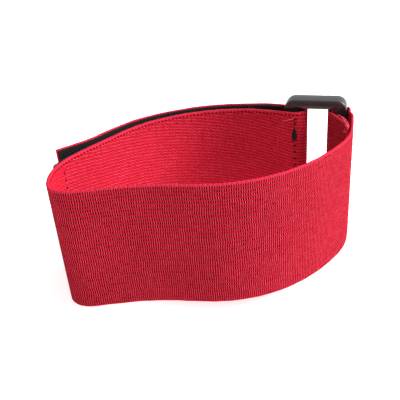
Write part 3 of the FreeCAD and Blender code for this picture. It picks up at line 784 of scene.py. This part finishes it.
H = [(CUT[0] + 2.4, tail_s(mid_a)), (tail_s(mid_a), tail_s(mid_b)), (tail_s(mid_b), tail.length - 0.55)]
hook_parts, hook_fields = [], []
for k, (a, b) in enumerate(H):
    o = slab("hook_tape_%s" % ("root", "middle", "tip")[k], tail, a, b, T2 + 0.01, T2 + 0.95, ZT, ZT + TAPE_W, M_HOOKB,
             sign=-TOUT, rough=0.02, seed=41 + k)
    hook_parts.append(o)
    hk = []
    R = rng(51 + k)
    rows = np.arange(ZT + 1.2, ZT + TAPE_W - 1.0, 1.15)
    cols_ = np.arange(a + 0.9, b - 0.4, 1.35)
    for ci, c in enumerate(cols_):
        for ri, z in enumerate(rows):
            sgn = 1 if ri % 2 else -1
            q = np.linspace(0, 1, 6)
            # stem up, then over into a crook
            ds = sgn * np.array([0, 0.02, 0.10, 0.30, 0.46, 0.44]) + R.normal(0, 0.03)
            dh = np.array([0.0, 0.30, 0.58, 0.74, 0.66, 0.46])
            s = c + ds + (0.6 if ri % 2 else 0.0) * 0.5
            hk.append(place(surf(tail, s, z + R.normal(0, 0.05) + 0 * s, T2 + 0.90 + dh, -TOUT)))
    f = tubes("hooks_%s" % ("root", "middle", "tip")[k], hk, 0.085, M_HOOK, sides=4, caps=True)
    hook_fields.append(f)

# ------------------------------------------------------------------ seams
SI = 2.7
rows = []
for z in (SI, W - SI):
    rows += stitch_row(band, s_loop0 + 3.2, s_loop1 - 3.4, z, -OUT, length=0.75, dip=0.20, lift=0.03, seed=int(z))
seam_rows = tubes("seam_loop_tape_rows", rows, 0.20, M_DARK, sides=6)
rows = stitch_col(band, s_loop0 + 2.4, 3.6, W - 3.6, -OUT, length=0.9, dip=0.20, lift=0.04, seed=5)
for a, b in ((3.2, 28.0), (35.9, 37.6)):
    rows += stitch_col(band, s_col, a, b, -OUT, length=0.85, dip=0.20, lift=0.04, seed=6)
    rows += stitch_col(band, s_col + 0.42, a + 0.3, b, -OUT, length=0.5, dip=0.20, lift=0.02, seed=7)
seam_loop = tubes("seam_loop_tape", rows, 0.21, M_DARK2, sides=6)

s_lap = band.nearest(48.8, 26.2, 0, 12)
s_front = band.nearest(50.05, 25.7, 40, 90)
side = 1.0 if band.at(s_lap)[2][0] < 0 else -1.0
rows = stitch_col(band, s_lap, 3.0, W - 3.0, side, length=1.2, seed=8)
rows += stitch_col(band, s_front, 3.0, W - 3.0, OUT, length=0.9, dip=0.22, lift=-0.02, seed=9)
seam_fold = tubes("seam_fold", rows, 0.15, M_DARK, sides=6)

tail_seams = []
for k, (a, b) in enumerate(H):
    r = []
    aa = a + (1.8 if k == 0 else 1.2)
    bb = b - (1.2 if k < 2 else 1.9)
    for z in (SI, W - SI):
        r += stitch_row(tail, aa, bb, z, TOUT, length=1.5, seed=60 + k)
    if k == 0:
        r += stitch_col(tail, a + 0.7, SI + 2.2, W - SI - 2.2, TOUT, length=1.5, seed=66)
    if k == 2:
        r += stitch_col(tail, b - 0.6, SI, W - SI, TOUT, length=1.5, seed=67)
    o = tubes("seam_hook_%s" % ("root", "middle", "tip")[k], r, 0.18, M_DARK, sides=6)
    tail_seams.append(o)

# backtack: a satin bar of thread, wider at its foot
bt = []
for i in range(7):
    x = (i - 3) / 3.0
    q = np.linspace(0, 1, 9)
    top = 34.9 - 1.3 * abs(x) ** 1.4
    bot = 30.3 + 0.5 * abs(x) ** 2
    z = top + (bot - top) * q
    wide = 0.25 + 0.75 * np.sin(np.clip(q * 1.15, 0, 1) * math.pi / 2)
    s = s_col + x * 0.66 * wide
    d = T2 - 0.12 + 0.34 * np.sin(q * math.pi) ** 0.45 * (1 - 0.35 * x * x)
    bt.append(place(surf(band, s, z, d, -OUT)))
for i in range(5):
    q = np.linspace(-1, 1, 6)
    z0 = 33.7 - i * 0.95
    s = s_col + q * (0.42 + 0.09 * i)
    d = T2 + 0.14 + 0.14 * np.sqrt(1 - q * q * 0.95)
    bt.append(place(surf(band, s, z0 + q * 0.15, d, -OUT)))
back = tubes("backtack", bt, 0.19, M_BLACK, sides=6)

# loose thread end curling off the seam
pts = []
for so, dz, lift in ((0.1, 1.1, -0.05), (-0.2, 0.85, 0.12), (-0.8, 0.42, 0.32), (-1.6, 0.12, 0.44), (-2.5, -0.02, 0.46),
                     (-3.2, -0.20, 0.42), (-3.7, -0.55, 0.34), (-3.5, -0.95, 0.30)):
    pts.append((s_col + so, 37.35 + dz, T2 + lift))
pts = np.array(pts)
k = np.linspace(0, len(pts) - 1, 26)
fine = np.stack([np.interp(k, np.arange(len(pts)), pts[:, i]) for i in range(3)], -1)
for _ in range(3):
    fine[1:-1] = (fine[:-2] + 2 * fine[1:-1] + fine[2:]) / 4
loose = tubes("loose_thread", [place(surf(band, fine[:, 0], fine[:, 1], fine[:, 2], -OUT))], 0.13, M_PINK, sides=6)

# frayed cut end: a tuft of fibres at the lap's upper corner, stray ones along it, two long yarns
R = rng(77)
fr, frr = [], []
for i in range(34):
    z = R.uniform(1.0, W - 1.0)
    q = np.linspace(0, 1, 6)
    l = R.uniform(0.4, 1.1)
    side_d = R.uniform(-0.30, 0.30) + q * q * R.uniform(-0.2, 0.2)
    fr.append(place(surf(band, 0.3 - l * q, z + q * R.uniform(-0.5, 0.6), side_d, 1.0)))
    frr.append(R.uniform(0.035, 0.06))
for i in range(30):
    q = np.linspace(0, 1, 8)
    o = np.array([48.75 + R.uniform(-0.35, 0.45), 26.2 + R.uniform(-0.9, 1.6), 39.4 + R.uniform(-1.6, 0.3)])
    d = np.array([R.uniform(-1.0, 0.7), R.uniform(-0.9, 1.2), R.uniform(0.0, 1.0)]) * R.uniform(0.5, 1.1)
    c = np.array([R.uniform(-0.5, 0.5), R.uniform(-0.5, 0.5), R.uniform(-0.4, 0.1)])
    P = o[None, :] + d[None, :] * q[:, None] + c[None, :] * (q * (1 - q) * 2)[:, None]
    P[:, 2] = np.minimum(P[:, 2], 40.9)
    fr.append(place(P)); frr.append(R.uniform(0.07, 0.12))
for P in ([(49.0, 26.2, 39.8), (48.85, 28.2, 40.35), (48.65, 30.2, 40.7), (48.35, 32.4, 40.85), (47.95, 34.2, 40.75), (47.65, 35.3, 40.5)],
          [(49.35, 26.8, 39.9), (49.4, 28.6, 40.4), (49.15, 30.6, 40.7), (48.75, 32.3, 40.75), (48.3, 33.7, 40.5)]):
    P = np.array(P, float)
    k = np.linspace(0, len(P) - 1, 16)
    f = np.stack([np.interp(k, np.arange(len(P)), P[:, i]) for i in range(3)], -1)
    for _ in range(3):
        f[1:-1] = (f[:-2] + 2 * f[1:-1] + f[2:]) / 4
    fr.append(place(f)); frr.append(0.17)
fray = tubes("frayed_end", fr, frr, M_PINK, sides=5, taper=lambda q: 1 - 0.45 * q)


# ------------------------------------------------------------------ ring
def rounded_rect(w, z0, z1, r, n=10):
    h = w / 2
    P = []
    for cx, cz, a0 in ((h - r, z0 + r, -90), (h - r, z1 - r, 0), (-h + r, z1 - r, 90), (-h + r, z0 + r, 180)):
        for k in range(n + 1):
            a = math.radians(a0 + 90 * k / n)
            P.append((cx + r * math.cos(a), cz + r * math.sin(a)))
    return np.array(P)


def ring_mesh():
    n = 10
    O = rounded_rect(RING_W, WIN0 - RING_END, WIN1 + RING_END, 3.3, n)
    I = rounded_rect(RING_W - 2 * RING_BAR, WIN0, WIN1, 0.6, n)
    # extra stations along the straight runs
    def more(A):
        out = []
        m = len(A)
        for i in range(m):
            a, b = A[i], A[(i + 1) % m]
            if i % (n + 1) == n:
                k = 14
                out += [a + (b - a) * q / k for q in range(k)]
            else:
                out.append(a)
        return np.array(out)
    O, I = more(O), more(I)
    S = len(O)
    rf = 0.38
    half = RING_T / 2
    # section from the outer wall round to the window wall, in (share across, v)
    sec = []
    w = 4.3
    def arc(cx, cv, a0, a1, k):
        for q in range(k + 1):
            a = math.radians(a0 + (a1 - a0) * q / k)
            sec.append((cx + rf * math.cos(a), cv + rf * math.sin(a)))
    # coordinates: x from 0 (outer) to w (window); outward is -x
    sec.append((-0.035, 0.0)); sec.append((0.0, 0.16))
    arc(rf, half - rf, 180, 90, 6)
    sec.append((w / 2, half + 0.0))
    arc(w - rf, half - rf, 90, 0, 6)
    sec.append((w, 0.16)); sec.append((w - 0.02, 0.0)); sec.append((w, -0.16))
    arc(w - rf, -half + rf, 0, -90, 6)
    sec.append((w / 2, -half))
    arc(rf, -half + rf, -90, -180, 6)
    sec.append((0.0, -0.16))
    sec = np.array(sec)
    N = len(sec)
    f = sec[:, 0] / w
    # the fillet keeps its true width on bars of any breadth
    P = O[:, None, :] * (1 - f)[None, :, None] + I[:, None, :] * f[None, :, None]
    wd = np.linalg.norm(O - I, axis=1)
    # at the corners the straight blend is wider: pull the fillet stations back to the true radius
    for i in range(S):
        di = (I[i] - O[i]) / wd[i]
        x = sec[:, 0]
        xx = np.where(x <= rf, x, np.where(x >= w - rf, wd[i] - (w - x), x * wd[i] / w))
        P[i] = O[i] + di * xx[:, None]
    u = P[..., 0]; z = P[..., 1]; v = np.repeat(sec[None, :, 1], S, 0)
    # a moulding is never quite flat: very slight crown and sink
    v = v * (0.980 - 0.012 * np.sin(z * 0.31 + 0.5))
    # the end bars are deeper than the side bars, with a short flare between
    e = np.clip(np.maximum((z - (WIN1 - 0.05)) / 0.5, ((WIN0 + 0.05) - z) / 0.5), 0, 1)
    v = v * (1 + (RING_END_T / RING_T - 1) * e * e * (3 - 2 * e))
    ca, sa = math.cos(RING_DIR), math.sin(RING_DIR)
    X = RING_C[0] + u * ca - v * sa
    Y = RING_C[1] + u * sa + v * ca
    V = place(np.stack([X, Y, z], -1)).reshape(-1, 3)
    i = np.arange(S)[:, None]; j = np.arange(N)[None, :]
    i2, j2 = (i + 1) % S, (j + 1) % N
    F = np.stack([i * N + j, i * N + j2, i2 * N + j2, i2 * N + j], -1).reshape(-1, 4)
    return make_mesh("ring_moulding", V, F, M_PL)


ring = ring_mesh()
# faces out: compare the signed volume
def flip_if_inside(o):
    me = o.data
    v = np.zeros(len(me.vertices) * 3, np.float32); me.vertices.foreach_get("co", v); v = v.reshape(-1, 3).astype(float)
    me.calc_loop_triangles()
    t = np.zeros(len(me.loop_triangles) * 3, np.int32); me.loop_triangles.foreach_get("vertices", t); t = t.reshape(-1, 3)
    c = v.mean(0)
    a, b, d = v[t[:, 0]] - c, v[t[:, 1]] - c, v[t[:, 2]] - c
    vol = np.einsum("ij,ij->i", a, np.cross(b, d)).sum() / 6
    if vol < 0:
        me.flip_normals()
    return vol


for o in (ring, loop_base, loop_thin, *hook_parts):
    flip_if_inside(o)
vols = {o.name: flip_if_inside(o) for o in (strap,)}

# ------------------------------------------------------------------ riding
for o in (strap, loop_base, loop_thin, pile, seam_rows, seam_loop, seam_fold, back, loose, fray):
    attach(o, "band")
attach(ring, "ring")
for k, o in enumerate((tail1, tail2, tail3)):
    bend(o)
for k in range(3):
    bend(hook_parts[k]); bend(hook_fields[k]); bend(tail_seams[k])

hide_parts("elastic_band")
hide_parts("tail_root"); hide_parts("tail_middle"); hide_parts("tail_tip")
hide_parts("loop_tape")
for k, n in enumerate(("root", "middle", "tip")):
    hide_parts("hook_" + n)
    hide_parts("hook_seam_" + n)
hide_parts("loop_tape_seam"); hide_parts("loop_tape_seam"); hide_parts("fold_seam")
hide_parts("backtack"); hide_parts("loose_thread"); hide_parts("frayed_end")
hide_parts("ring_buckle")

# ------------------------------------------------------------------ stage, lights, camera
def stage_floor():
    me = bpy.data.meshes.new("floor")
    s = 3.0
    me.from_pydata([(-s, -s, 0), (s, -s, 0), (s, s, 0), (-s, s, 0)], [], [(0, 1, 2, 3)])
    o = bpy.data.objects.new("floor", me)
    g = G("pale_floor")
    n = g.noise(g.object_vec(), 3.0, 2.0)
    g.set(Base_Color=g.mix(n, (0.90, 0.90, 0.90, 1), (0.93, 0.93, 0.93, 1)))
    g.bsdf.inputs["Roughness"].default_value = 0.9
    g.bsdf.inputs["Emission Color"].default_value = (1, 1, 1, 1)
    g.bsdf.inputs["Emission Strength"].default_value = 0.56
    me.materials.append(g.mat)
    bpy.context.scene.collection.objects.link(o)
    o.location.z = -0.0001


stage_floor()
sc = bpy.context.scene
sc.view_settings.view_transform = "Standard"
sc.view_settings.look = "None"
sc.view_settings.exposure = 0.0
w = bpy.data.worlds.new("studio")
sc.world = w
w.use_nodes = True
bg = w.node_tree.nodes["Background"]
bg.inputs[0].default_value = (1.0, 1.0, 1.0, 1)
tc = w.node_tree.nodes.new("ShaderNodeTexCoord")
sx = w.node_tree.nodes.new("ShaderNodeSeparateXYZ")
mr = w.node_tree.nodes.new("ShaderNodeMapRange")
w.node_tree.links.new(tc.outputs["Generated"], sx.inputs[0])
w.node_tree.links.new(sx.outputs[0], mr.inputs[0])
for i, q in enumerate((-1.0, 1.0, 0.58, 0.88)):
    mr.inputs[i + 1].default_value = q
w.node_tree.links.new(mr.outputs[0], bg.inputs[1])


def area(name, loc, aim, size, power, rgb=(1, 1, 1)):
    l = bpy.data.lights.new(name, "AREA")
    l.shape = "DISK"; l.size = size; l.energy = power; l.color = rgb
    o = bpy.data.objects.new(name, l)
    o.location = loc
    o.rotation_mode = "QUATERNION"
    o.rotation_quaternion = (Vector(aim) - Vector(loc)).to_track_quat("-Z", "Y")
    sc.collection.objects.link(o)
    return o


area("key", (0.60, -0.04, 0.52), (0.0, 0.0, 0.02), 0.34, 10.0)

cam = bpy.data.cameras.new("cam")
co = bpy.data.objects.new("cam", cam)
sc.collection.objects.link(co)
TH, D, FPX = math.radians(29.7), 0.1663, 592.2
aim = Vector((SHIFT[0] / 1000, SHIFT[1] / 1000, (32.39 + SHIFT[2]) / 1000))
co.location = aim + Vector((0, -math.cos(TH), math.sin(TH))) * D
co.rotation_mode = "QUATERNION"
co.rotation_quaternion = (aim - co.location).to_track_quat("-Z", "Y")
cam.sensor_width = 36.0
cam.lens = FPX / 400 * 36.0
cam.clip_start = 0.005
sc.camera = co
